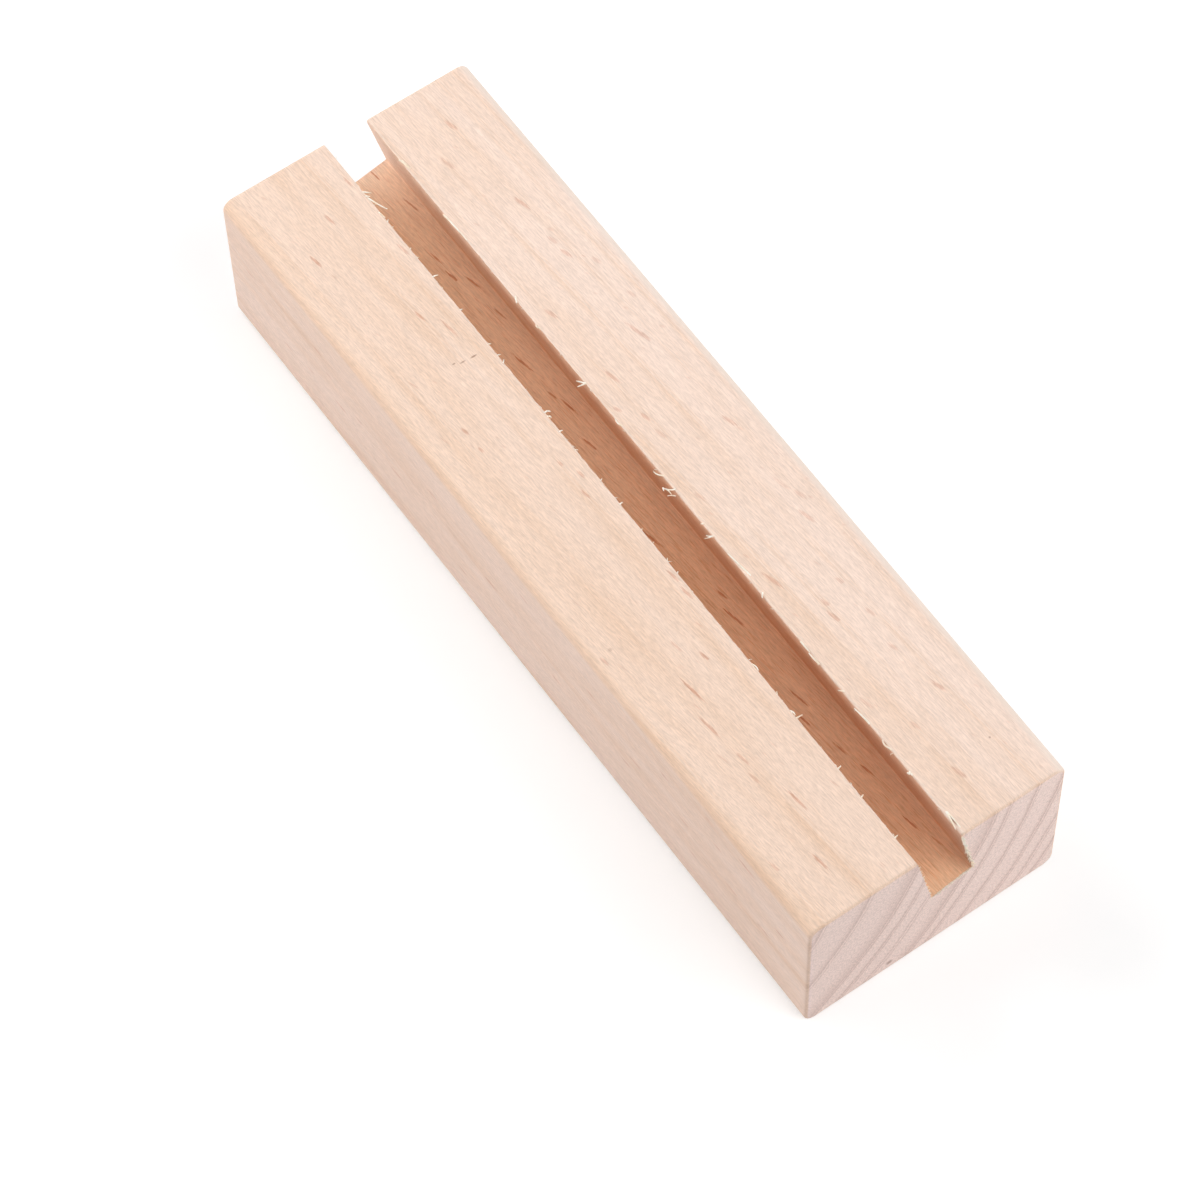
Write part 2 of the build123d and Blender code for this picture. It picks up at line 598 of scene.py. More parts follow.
class BeechWood:
    """Wood that fills the bar, as shader nodes: rings round a pith, rays across them and fibres along."""

    def __init__(self, finish: BeechFinish) -> None:
        """Starts the material with what its colours depend on.

        Args:
            finish: the wood's tints and sizes.
        """
        self.finish = finish
        self.material = bpy.data.materials.new("bare_beech")
        self.graph = Graph.of(self.material)
        point = self.graph.vector_math("SCALE", {0: self.graph.coordinates(), "Scale": 1 / MM})[0]
        self.place = self.graph.axes(point)
        self.share = self._of_span(self.place[0])
        self.grain = self._grain()
        self.fine = self.graph.noise(self.grain, finish.fine_scales)
        self.strands = self.graph.noise(self.grain, finish.strand_scales)
        self.season, self.line = self._growth()
        self.flecks = self._flecks()

    def dressed(self) -> bpy.types.Material:
        """Colours the wood and gives it its surface.

        Returns:
            The material, for the bar.
        """
        graph, finish = self.graph, self.finish
        colour = graph.mix(graph.attribute("crosscut"), self._side_colour(), self._end_colour())
        for texture, swing in ((self.fine, finish.fine_swing), (self.strands, finish.strand_swing)):
            colour = graph.shaded(colour, graph.step(texture, *finish.swing_range, 1.0 - swing, 1.0 + swing))
        # Painted light: the back long side is tinted a little bluer.
        colour = graph.tinted(graph.step(self.place[1], *finish.back_side_light_range), colour, finish.back_side_light_tint)
        colour = graph.tinted(graph.attribute("sawn"), colour, self._slot_tint())
        colour = graph.tinted(graph.attribute("arris"), colour, finish.burnish.linear())
        # Painted highlight: the pale share lightens the front long edges and the slot's worn edges.
        colour = graph.mix(graph.attribute("pale"), colour, finish.pale.linear())
        # The small marks, with the painted shade of the slit under a lifted sliver.
        colour = graph.mix(self._marks(), colour, finish.mark_and_gap_shade.linear())
        self._surface(colour)
        return self.material

    def _of_span(self, value: Socket) -> Socket:
        """Returns a place along or across the bar as a share of its length, from its middle at one half."""
        return self.graph.math("MULTIPLY_ADD", value, 1 / self.finish.span, 0.5)

    def _grain(self) -> list[Socket]:
        """Follows the grain, which drifts across the bar.

        Returns:
            How far along the grain, outwards from the pith and round the tree the point is, in millimetres.
        """
        graph, finish = self.graph, self.finish
        along, *section = self.place
        run = graph.math("SUBTRACT", along, finish.near_end)
        offset = []
        for value, rise, centre in zip(section, finish.grain_rise, finish.pith):
            level = graph.math("MULTIPLY_ADD", run, -rise, value)
            offset.append(graph.math("SUBTRACT", centre, level))
        distance = graph.math("SQRT", graph.squares(*offset))
        sway = graph.noise((along, *offset), finish.sway_scales)
        outward = graph.math("ADD", distance, graph.math("SUBTRACT", sway, 0.5))
        angle = graph.math("ARCTAN2", offset[1], offset[0])
        return [along, outward, graph.times(angle, finish.core + finish.ring_span / 2)]

    def _growth(self) -> tuple[Socket, Socket]:
        """Draws the growth rings, each darker outwards up to its outer edge, which fades into the next.

        Returns:
            The ring's dark late wood and the line at its outer edge, each from 0 to 1.
        """
        graph, finish = self.graph, self.finish
        stops, reach = [], 0.0
        for ring in finish.rings:
            sizes = (ring.late, ring.width / finish.widest_ring, 1.0)
            stops.append((reach / finish.ring_span + finish.ring_jump, (0.0, *sizes)))
            reach += ring.width
            stops.append((reach / finish.ring_span, (1.0, *sizes)))
        depth = graph.math("SUBTRACT", self.grain[1], finish.core)
        years = graph.ramp(graph.math("DIVIDE", depth, finish.ring_span), stops)
        season, late, width = graph.channels(years[0])
        width = graph.times(width, finish.widest_ring)
        band = graph.step(season, graph.math("SUBTRACT", 1.0, late), 1.0)
        after = graph.step(graph.times(season, width), 0.0, finish.line_after, 1.0, 0.0)
        to_edge = graph.times(graph.math("SUBTRACT", 1.0, season), width)
        before = graph.step(to_edge, 0.0, finish.line_before, 1.0, 0.0)
        return graph.most(band, after), graph.most(before, after)

    def _flecks(self) -> Socket:
        """Gathers all the rays.

        Returns:
            How strongly one shows at the point, from 0 to 1.
        """
        finish = self.finish
        lanes = (*finish.lanes, finish.side_lane, finish.side_lane.turned(finish.height))
        scattered = [self._crowd(crowd) for crowd in finish.crowds]
        return self.graph.most(*scattered, *(self._lane(lane) for lane in lanes))

    def _crowd(self, crowd: RayCrowd) -> Socket:
        """Scatters thin sheets of ray through the wood, each of its own size and strength.

        Args:
            crowd: how far apart and how large the rays are.

        Returns:
            How strongly one shows, from 0 to 1.
        """
        graph, finish = self.graph, self.finish
        cells = graph.stretched(self.grain, [1 / step for step in crowd.spacing])
        ray = graph.node("ShaderNodeTexVoronoi", {"Vector": cells, "Scale": 1.0}).outputs
        chance, strength, _ = graph.channels(ray["Color"])
        chance = graph.math("POWER", chance, finish.ray_rarity)
        reach = graph.math("MULTIPLY_ADD", chance, crowd.largest - crowd.smallest, crowd.smallest)
        inside = graph.step(ray["Distance"], graph.times(reach, finish.ray_core), reach, 1.0, 0.0)
        return graph.times(inside, graph.times(strength, crowd.depth))

    def _lane(self, lane: FleckLane) -> Socket:
        """Places the large flecks of one strip. A stepped ramp along the bar holds each one's sizes.

        Args:
            lane: the strip.

        Returns:
            How strongly a fleck shows, from 0 to 1.
        """
        graph, finish = self.graph, self.finish
        across, up = self.place[1:]
        sizes = graph.ramp(self.share, list(lane.stops(finish.span)), stepped=True)
        middle, level, length = graph.channels(sizes[0])
        run = graph.math("SUBTRACT", self.share, middle)
        off = graph.math("SUBTRACT", self._of_span(up if lane.upright else across), level)
        off = graph.math("MULTIPLY_ADD", run, -lane.slant, off)
        reach = graph.squares(
            graph.math("DIVIDE", run, graph.times(length, finish.fleck_reach)),
            graph.math("DIVIDE", off, lane.width / 2 / finish.span),
        )
        fray = graph.math("MULTIPLY_ADD", self.fine, finish.fleck_fray, -finish.fleck_fray / 2)
        frayed = graph.math("ADD", reach, fray)
        shown = graph.times(graph.step(frayed, 0.0, finish.fleck_fade, lane.strength, 0.0), sizes[1])
        for value, low, high in zip((across, up), lane.low, lane.high):
            shown = graph.times(shown, graph.math("COMPARE", value, (low + high) / 2, (high - low) / 2))
        return shown

    def _side_colour(self) -> Socket:
        """Colours the wood along the grain: paler outwards, with faint rings and darker flecks.

        Returns:
            The colour.
        """
        graph, finish = self.graph, self.finish
        age = graph.step(self.grain[1], *finish.side_age)
        colour = graph.mix(age, finish.heart.linear(), finish.bark.linear())
        broken = graph.step(graph.noise(self.grain, finish.break_scales), *finish.break_range)
        colour = graph.tinted(graph.times(self.season, broken), colour, finish.late.linear())
        clouds = graph.noise(self.grain, finish.cloud_scales, finish.coarse_detail)
        colour = graph.tinted(graph.step(clouds, *finish.cloud_range), colour, finish.drift.linear())
        tint = graph.mix(graph.attribute("sawn"), finish.fleck.linear(), finish.sawn_fleck.linear())
        return graph.tinted(self.flecks, colour, tint)

    def _end_colour(self) -> Socket:
        """Colours the crosscut ends: greyer, with clear rings, faint spokes of ray and open pores.

        Returns:
            The colour.
        """
        graph, finish = self.graph, self.finish
        dark = graph.times(self.line, finish.end_line)
        dark = graph.math("MULTIPLY_ADD", self.season, finish.end_season, dark)
        spokes = graph.math("SUBTRACT", graph.noise(self.grain, finish.spoke_scales), finish.spoke_onset)
        dark = graph.math("MULTIPLY_ADD", spokes, finish.end_spokes, dark, clamp=True)
        colour = graph.mix(dark, finish.end_early.linear(), finish.end_late.linear())
        pores = graph.noise(self.place, finish.pore_scales, finish.coarse_detail)
        pores = graph.step(pores, *finish.pore_range, *finish.pore_levels)
        age = graph.step(self.grain[1], *finish.end_age, *finish.end_age_levels)
        return graph.shaded(colour, graph.times(pores, age))

    def _slot_tint(self) -> Socket:
        """Tints the sawn slot: warm on its floor, and streaked, with painted light and shade along the bar
        and painted shade on the floor towards the front wall.

        Returns:
            What the slot multiplies the colour by.
        """
        graph, finish = self.graph, self.finish
        # The ramps along the bar carry painted light and shade as well as the sawn wood's tint.
        floor, wall = (
            graph.ramp(self.share, [(along / finish.span + 0.5, tint.linear()) for along, tint in tints])[0]
            for tints in (finish.floor_tints_and_shading, finish.wall_tints_and_shading)
        )
        # Painted shade: the floor darkens towards the front wall.
        wall_side_shade = graph.step(self.place[1], *finish.floor_shade_range, 1.0, 0.0)
        floor = graph.tinted(wall_side_shade, floor, finish.floor_shade_by_wall.linear())
        tint = graph.mix(graph.step(self.place[2], *finish.wall_range), floor, wall)
        streaks = graph.noise(self.grain, finish.streak_scales, finish.coarse_detail)
        return graph.tinted(graph.step(streaks, *finish.streak_range), tint, finish.slot_streak.linear())

    def _marks(self) -> Socket:
        """Draws the small marks in the wood, and the painted shade of the gap under a lifted sliver.

        Returns:
            How dark they are at the point.
        """
        graph, shown = self.graph, []
        point = graph.vector(*self.place)
        for speck in self.finish.specks:
            offset = graph.vector_math("SUBTRACT", {0: point, 1: speck.place})[0]
            shape = graph.vector_math("DIVIDE", {0: offset, 1: speck.size})[0]
            reach = graph.vector_math("LENGTH", {0: shape})["Value"]
            shown.append(graph.step(reach, *self.finish.speck_edge, speck.depth, 0.0))
        return graph.most(*shown)

    def _surface(self, colour: Socket) -> None:
        """Gives the wood its dull, slightly ribbed surface.

        Args:
            colour: the wood's colour.
        """
        graph, finish = self.graph, self.finish
        height = graph.math("MULTIPLY_ADD", self.flecks, -finish.fleck_dent, self.strands)
        height = graph.math("MULTIPLY_ADD", self.fine, finish.fine_lift, height)
        feeds = {"Height": height, "Strength": finish.bump_strength, "Distance": finish.bump_height * MM}
        graph.surface({
            "Base Color": colour,
            "Roughness": graph.step(self.strands, *finish.gloss_range, *finish.roughness),
            "Normal": graph.node("ShaderNodeBump", feeds).outputs[0],
            "Specular IOR Level": finish.specular,
        })


@dataclass(frozen=True)
class FibreFinish:
    """Torn wood fibre: pale and dull, with a tan tinge here and there."""

    pale: Tint = Tint(255, 250, 238)
    tan: Tint = Tint(250, 232, 208)
    patch_scale: float = 0.9
    patch_range: Pair = (0.35, 0.7)
    roughness: float = 0.7
    specular: float = 0.2

    def material(self) -> bpy.types.Material:
        """Builds the fibre.

        Returns:
            The material, for every torn strand.
        """
        material = bpy.data.materials.new("torn_fibre")
        graph = Graph.of(material)
        feeds = {"Vector": graph.coordinates(), "Scale": self.patch_scale / MM, "Detail": 1.0}
        patches = graph.node("ShaderNodeTexNoise", feeds).outputs["Fac"]
        share = graph.step(patches, *self.patch_range)
        graph.surface({
            "Base Color": graph.mix(share, self.pale.linear(), self.tan.linear()),
            "Roughness": self.roughness,
            "Specular IOR Level": self.specular,
        })
        return material


@dataclass(frozen=True)
class OutlinePoint:
    """A point of the bar's section in millimetres, with its shares of burnish, sawn slot and painted edge
    highlight.
    """

    y: float
    z: float
    arris: float = 0.0
    sawn: float = 0.0
    # The share of painted highlight at the point.
    pale: float = 0.0


@dataclass(frozen=True)
class BeechBlock:
    """The bar: its sizes in millimetres, the state of its edges, and how finely its mesh is divided."""

    length: float
    depth: float
    height: float
    edge_radius: float = 1.5
    end_ease: float = 0.4
    slot_width: float = 6.0
    slot_depth: float = 11.5
    slot_lean: float = math.radians(12.5)
    foot_radius: float = 0.14

    # Wear of the slot's edges. A noise has its pitch along the bar, its offset for each edge and its level,
    # and a loss at an end has its reach along the bar and its depth.
    back_wear: float = 0.07
    front_wear: float = 0.30
    far_front_wear: float = 0.08
    wear_change: float = 15.0
    least_wear: float = 0.02
    back_ragged: float = 1.6
    chip_noise: Place = (1.7, 7.1, 0.4)
    chip_depth: float = 0.16
    dent_noise: Place = (0.9, 3.7, 5.2)
    dent_depth: float = 0.3
    dent_onset: float = 0.15
    far_loss: Pair = (8.0, 0.4)
    near_loss: Pair = (2.5, 0.35)

    # Looks of the edges: burnish at the back, a painted highlight on the front edges and on the slot's edges,
    # and where the slot's tint fades towards the far end as painted light.
    high_burnish: float = 1.0
    low_burnish: float = 0.4
    burnish_skew: float = 0.67
    # Painted highlight on the front long edges and along the slot's worn edges.
    front_edge_highlight: float = 0.6
    lip_highlight: float = 0.25
    # Painted light: the slot's sawn tint fades towards the far end, where light comes in.
    far_painted_light: float = 0.35
    fade_start: float = 48.0
    fade_length: float = 12.0

    # Divisions of the mesh.
    step: float = 0.25
    flat_parts: int = 5
    corner_parts: int = 8
    lip_parts: int = 5
    ease_parts: int = 5
    support: float = 0.12
    crisp_angle: float = math.radians(28)

    @classmethod
    def from_frame(cls, node: str) -> "BeechBlock":
        """Returns a bar of the outer size that its node has in the frame."""
        low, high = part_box(node)
        return cls(*((high - low) / MM))

    def edge(self, side: Arris, drop: float = 0.0) -> Pair:
        """Returns Y and Z on a slot wall at a drop below the top."""
        half_mouth = self.slot_width / 2 / math.cos(self.slot_lean)
        return side.value * half_mouth - drop * math.tan(self.slot_lean), self.height - drop

    def floor_corner(self, side: Arris) -> Pair:
        """Finds where a slot wall meets the slot's floor.

        Args:
            side: the wall's side.

        Returns:
            Y and Z there.
        """
        lean_y, lean_z = math.sin(self.slot_lean), math.cos(self.slot_lean)
        half = side.value * self.slot_width / 2
        y = half * lean_z - self.slot_depth * lean_y
        return y, self.height - self.slot_depth * lean_z - half * lean_y

    def wear(self, side: Arris, along: float) -> float:
        """Works out how far a slot edge is worn back.

        Args:
            side: the edge.
            along: the place along it.

        Returns:
            The wear.
        """
        chips, dents = (
            noise.noise(Vector((along * pitch, side.value * offset, level)))
            for pitch, offset, level in (self.chip_noise, self.dent_noise)
        )
        ragged = self.chip_depth * chips + self.dent_depth * max(0.0, dents - self.dent_onset)
        if side is Arris.BACK:
            return max(self.least_wear, self.back_wear + self.back_ragged * ragged)
        (far_reach, far_depth), (near_reach, near_depth) = self.far_loss, self.near_loss
        far = max(0.0, along - self.length / 2 + far_reach) / far_reach
        near = max(0.0, near_reach - self.length / 2 - along) / near_reach
        change = min(max(along / self.wear_change, 0.0), 1.0)
        mean = self.front_wear + (self.far_front_wear - self.front_wear) * change
        return max(self.least_wear, mean + ragged + far_depth * far * far + near_depth * near * near)

    def outline(self, inset: float, along: float) -> list[OutlinePoint]:
        """Draws the section at one place along the bar.

        Args:
            inset: how far the outer faces are drawn in there.
            along: the place.

        Returns:
            The points in order, from the underside round the back, the slot and the front.
        """
        radius = self.edge_radius - inset
        half, bottom, top = self.depth / 2 - inset, inset, self.height - inset
        back, front = half - radius, -half + radius
        low, high = bottom + radius, top - radius
        back_lip, front_lip = (self._lip(side, inset, along) for side in Arris)
        back_foot, front_foot = (self._foot(side) for side in Arris)
        points = list(self._run((front, bottom), (back, bottom)))
        points += self._corner((back, low), radius, -90, burnish=self.low_burnish)
        points += self._run((half, low), (half, high))
        points += self._corner((back, high), radius, 0, burnish=self.high_burnish)
        points += self._run((back, top), back_lip[0])
        points += self._shares(back_lip)
        points += self._run(back_lip[-1], back_foot[0], sawn=1.0)
        points += [OutlinePoint(*place, sawn=1.0) for place in back_foot[:-1]]
        points += self._run(back_foot[-1], front_foot[-1], sawn=1.0)
        points += [OutlinePoint(*place, sawn=1.0) for place in reversed(front_foot[1:])]
        points += self._run(front_foot[0], front_lip[-1], sawn=1.0)
        points += reversed(self._shares(front_lip))
        points += list(self._run(front_lip[0], (front, top)))[1:]
        points += self._corner((front, high), radius, 90, pale=self.front_edge_highlight)
        points += self._run((-half, high), (-half, low))
        points += self._corner((front, low), radius, 180, pale=self.front_edge_highlight)
        return points

    def _shares(self, lip: list[Pair]) -> list[OutlinePoint]:
        """Dresses a worn slot edge: a painted highlight at the top, and sawn towards the wall.

        Args:
            lip: the edge's places, from the top round to the wall.

        Returns:
            Its points but the last, which is the wall's own.
        """
        points = []
        for spot, place in enumerate(lip[:-1]):
            share = spot / (len(lip) - 1)
            points.append(OutlinePoint(*place, sawn=share**2, pale=self.lip_highlight * (1 - share) ** 2))
        return points

    def _lip(self, side: Arris, inset: float, along: float) -> list[Pair]:
        """Rounds a slot edge by its wear.

        Args:
            side: the edge.
            inset: how far the top is drawn in.
            along: the place along the edge.

        Returns:
            The places, from the top round to the wall.
        """
        wear = self.wear(side, along)
        sharp = Vector(self.edge(side, inset))
        start = sharp + Vector((side.value * wear, 0.0))
        return self._bow(start, sharp, Vector(self.edge(side, inset + wear)))

    def _foot(self, side: Arris) -> list[Pair]:
        """Rounds a corner at the foot of a slot wall.

        Args:
            side: the wall's side.

        Returns:
            The places, from the wall round to the floor.
        """
        lean_y, lean_z = math.sin(self.slot_lean), math.cos(self.slot_lean)
        sharp = Vector(self.floor_corner(side))
        up = Vector((lean_y, lean_z)) * self.foot_radius
        inwards = Vector((-lean_z, lean_y)) * self.foot_radius * side.value
        return self._bow(sharp + up, sharp, sharp + inwards)

    def _bow(self, start: Vector, sharp: Vector, end: Vector) -> list[Pair]:
        """Rounds a corner.

        Args:
            start: where the round starts.
            sharp: the corner without it.
            end: where the round ends.

        Returns:
            The places from start to end.
        """
        places = []
        for part in range(self.lip_parts + 1):
            share = part / self.lip_parts
            places.append(tuple(start * (1 - share) ** 2 + sharp * 2 * share * (1 - share) + end * share**2))
        return places

    def _run(self, start: Pair, end: Pair, sawn: float = 0.0) -> Iterator[OutlinePoint]:
        """Draws a straight stretch, with a narrow strip beside each end.

        Args:
            start: where it starts.
            end: where it ends.
            sawn: its share of sawn slot.

        Yields:
            Its points but the last.
        """
        strip = self.support / math.dist(start, end)
        inner = [part / self.flat_parts for part in range(1, self.flat_parts)]
        for share in (0.0, strip, *inner, 1 - strip):
            yield OutlinePoint(*(a + (b - a) * share for a, b in zip(start, end)), sawn=sawn)

    def _corner(
        self, centre: Pair, radius: float, start: float, burnish: float = 0.0, pale: float = 0.0
    ) -> Iterator[OutlinePoint]:
        """Draws a rounded long edge.

        Args:
            centre: the middle of its quarter circle.
            radius: the quarter circle's radius.
            start: where it starts, in degrees.
            burnish: how strongly the edge is burnished.
            pale: how strongly a highlight is painted on the edge.

        Yields:
            Its points but the last.
        """
        for part in range(self.corner_parts):
            share = part / self.corner_parts
            angle = math.radians(start + 90 * share)
            place = (centre[0] + radius * math.cos(angle), centre[1] + radius * math.sin(angle))
            line = math.sin(math.pi * share**self.burnish_skew) ** 2
            yield OutlinePoint(*place, arris=burnish * line, pale=pale * math.sin(math.pi * share))

    def stations(self) -> list[Pair]:
        """Lists the places along the bar where its section is drawn.

        Returns:
            X and how far the faces are drawn in there, from end to end.
        """
        straight = self.length / 2 - self.end_ease
        count = round(2 * straight / self.step)
        middle = [(-straight + 2 * straight * part / count, 0.0) for part in range(count + 1)]
        ease = []
        for part in range(1, self.ease_parts + 1):
            angle = math.pi / 2 * part / self.ease_parts
            ease.append((straight + self.end_ease * math.sin(angle), self.end_ease * (1 - math.cos(angle))))
        return [(-x, inset) for x, inset in reversed(ease)] + middle + ease

    def build(self, material: bpy.types.Material) -> bpy.types.Object:
        """Makes the bar.

        Args:
            material: its wood.

        Returns:
            The bar's object.
        """
        verts, faces, shares = [], [], {"arris": [], "sawn": [], "pale": [], "crosscut": []}
        stations = self.stations()
        for x, inset in stations:
            crosscut = inset / self.end_ease
            # Painted light: less of the sawn tint towards the far end.
            far_light = 1 - self.far_painted_light * max(0.0, x - self.fade_start) / self.fade_length
            for point in self.outline(inset, x):
                verts.append(Vector((x, point.y, point.z)) * MM)
                shares["arris"].append(max(point.arris * (1 - crosscut), 4 * crosscut * (1 - crosscut)))
                shares["sawn"].append(point.sawn * (1 - crosscut) * far_light)
                # The pale share is a painted highlight on the edges.
                shares["pale"].append(point.pale * (1 - crosscut))
                shares["crosscut"].append(crosscut)
        around = len(verts) // len(stations)
        for row in range(0, len(verts) - around, around):
            for spot in range(around):
                beside = (spot + 1) % around
                faces.append((row + spot, row + beside, row + around + beside, row + around + spot))
        faces += [list(range(around)), list(range(len(verts) - around, len(verts)))]
        mesh = bpy.data.meshes.new("bar")
        mesh.from_pydata(verts, [], faces)
        for name, values in shares.items():
            mesh.attributes.new(name, "FLOAT", "POINT").data.foreach_set("value", values)
        self._smooth(mesh)
        mesh.materials.append(material)
        return add_piece("bar", mesh)

    def _smooth(self, mesh: bpy.types.Mesh) -> None:
        """Turns the faces outwards and smooths them, but for crisp edges and the flat ends.

        Args:
            mesh: the bar's mesh.
        """
        work = bmesh.new()
        work.from_mesh(mesh)
        bmesh.ops.recalc_face_normals(work, faces=work.faces)
        for face in work.faces:
            face.smooth = True
        for edge in work.edges:
            on_end = any(len(face.verts) > 4 for face in edge.link_faces)
            edge.smooth = not on_end and edge.calc_face_angle(0.0) < self.crisp_angle
        work.to_mesh(mesh)
        work.free()


@dataclass(frozen=True)
class Strand:
    """A torn strand on a slot edge: its points from root to tip, and its girth beside a full one's.

    Each point is its place along the bar, how far into the slot from the edge it is, and its height over
    the top, in millimetres.
    """

    points: tuple[Place, ...]
    girth: float = 1.0


@dataclass(frozen=True)
class Fuzz:
    """Short fibres on a torn edge: their number, length in millimetres, and thickness for their length.

    The fibres dip and head, from +X towards +Y, by angles in degrees from the first to the second one given.
    They stray along the edge by a share of their spacing.
    """

    count: int
    length: float
    thickness: float
    dips: Pair
    headings: Pair
    seed: int
    stray: float = 0.45

    def sizes(self, ends: Sequence[Place], finish: bpy.types.Material) -> dict[str, Feed]:
        """Lists the growing tree's inputs.

        Args:
            ends: the edge's two ends.
            finish: the fibres' material.

        Returns:
            The inputs by name, in metres and radians.
        """
        start, end = (Vector(place) for place in ends)
        lowest, highest = (
            Vector((0.0, math.radians(dip), math.radians(heading)))
            for dip, heading in zip(self.dips, self.headings)
        )
        return {
            "Count": self.count,
            "Length": self.length * MM,
            "Thickness": self.thickness,
            "Scatter": (end - start) * (self.stray / self.count * MM),
            "Lowest turn": lowest,
            "Highest turn": highest,
            "Seed": self.seed,
            "Finish": finish,
        }


class FuzzTree:
    """Geometry nodes that grow short torn fibres along an edge line."""

    INPUTS = {
        "Count": "NodeSocketInt",
        "Length": "NodeSocketFloat",
        "Thickness": "NodeSocketFloat",
        "Scatter": "NodeSocketVector",
        "Lowest turn": "NodeSocketVector",
        "Highest turn": "NodeSocketVector",
        "Seed": "NodeSocketInt",
        "Finish": "NodeSocketMaterial",
    }
    SHORTEST = 0.35
    TAPER = 0.7
    SIDES = 3
    BEND = {"Resolution": 5, "Start": (0.0, 0.0, 0.0), "Middle": (0.55, 0.0, 0.2), "End": (1.0, 0.2, 0.05)}

    def __init__(self) -> None:
        """Builds the tree."""
        self.tree = bpy.data.node_groups.new("edge_fuzz", "GeometryNodeTree")
        self.graph = graph = Graph(self.tree)
        interface = self.tree.interface
        interface.new_socket("Edge line", in_out="INPUT", socket_type="NodeSocketGeometry")
        self.identifiers = {
            name: interface.new_socket(name, in_out="INPUT", socket_type=kind).identifier
            for name, kind in self.INPUTS.items()
        }
        interface.new_socket("Fibres", in_out="OUTPUT", socket_type="NodeSocketGeometry")
        self.sizes = sizes = graph.node("NodeGroupInput").outputs
        feeds = {"Min": sizes["Lowest turn"], "Max": sizes["Highest turn"], "Seed": sizes["Seed"]}
        turn = graph.node("FunctionNodeRandomValue", feeds, data_type="FLOAT_VECTOR").outputs[0]
        feeds = {
            "Points": self._roots(),
            "Instance": self._strand(),
            "Rotation": turn,
            "Scale": graph.times(self._random(self.SHORTEST, 1.0), sizes["Length"]),
        }
        fibres = graph.node("GeometryNodeInstanceOnPoints", feeds).outputs[0]
        real = graph.node("GeometryNodeRealizeInstances", {0: fibres}).outputs[0]
        feeds = {"Geometry": real, "Material": sizes["Finish"]}
        graph.node("NodeGroupOutput", {0: graph.node("GeometryNodeSetMaterial", feeds).outputs[0]})

    def _random(self, low: float, high: float) -> Socket:
        """Returns a random value for each fibre."""
        feeds = {2: low, 3: high, "Seed": self.sizes["Seed"]}
        return self.graph.node("FunctionNodeRandomValue", feeds).outputs[1]

    def _roots(self) -> Socket:
        """Spreads the fibres' roots.

        Returns:
            Points spread unevenly along the edge line.
        """
        graph, sizes = self.graph, self.sizes
        line = graph.node("GeometryNodeMeshToCurve", {"Mesh": sizes["Edge line"]}).outputs[0]
        even = graph.node("GeometryNodeResampleCurve", {"Curve": line, "Count": sizes["Count"]}).outputs[0]
        shift = graph.vector_math("SCALE", {0: sizes["Scatter"], "Scale": self._random(-1.0, 1.0)})[0]
        return graph.node("GeometryNodeSetPosition", {"Geometry": even, "Offset": shift}).outputs[0]

    def _strand(self) -> Socket:
        """Makes one fibre.

        Returns:
            A bent, tapering strand of unit length along X.
        """
        graph = self.graph
        bend = graph.node("GeometryNodeCurveQuadraticBezier", self.BEND).outputs[0]
        share = graph.node("GeometryNodeSplineParameter").outputs["Factor"]
        taper = graph.math("MULTIPLY_ADD", share, -self.TAPER, 1.0)
        radius = graph.times(taper, self.sizes["Thickness"])
        feeds = {"Resolution": self.SIDES, "Radius": 1.0}
        ring = graph.node("GeometryNodeCurvePrimitiveCircle", feeds).outputs[0]
        feeds = {"Curve": bend, "Profile Curve": ring, "Scale": radius, "Fill Caps": True}
        return graph.node("GeometryNodeCurveToMesh", feeds).outputs[0]

    def grow(
        self, name: str, ends: Sequence[Place], fuzz: Fuzz, finish: bpy.types.Material
    ) -> bpy.types.Object:
        """Grows fibres along an edge.

        Args:
            name: the fibres' name.
            ends: the edge's two ends, in millimetres.
            fuzz: the fibres' sizes.
            finish: the fibres' material.

        Returns:
            The fibres' object, a plain mesh.
        """
        mesh = bpy.data.meshes.new(name + "_line")
        mesh.from_pydata([Vector(place) * MM for place in ends], [(0, 1)], [])
        source = add_piece(name + "_line", mesh)
        grower = source.modifiers.new("edge_fuzz", "NODES")
        grower.node_group = self.tree
        for size, value in fuzz.sizes(ends, finish).items():
            grower[self.identifiers[size]] = value
        return settled(source, name)


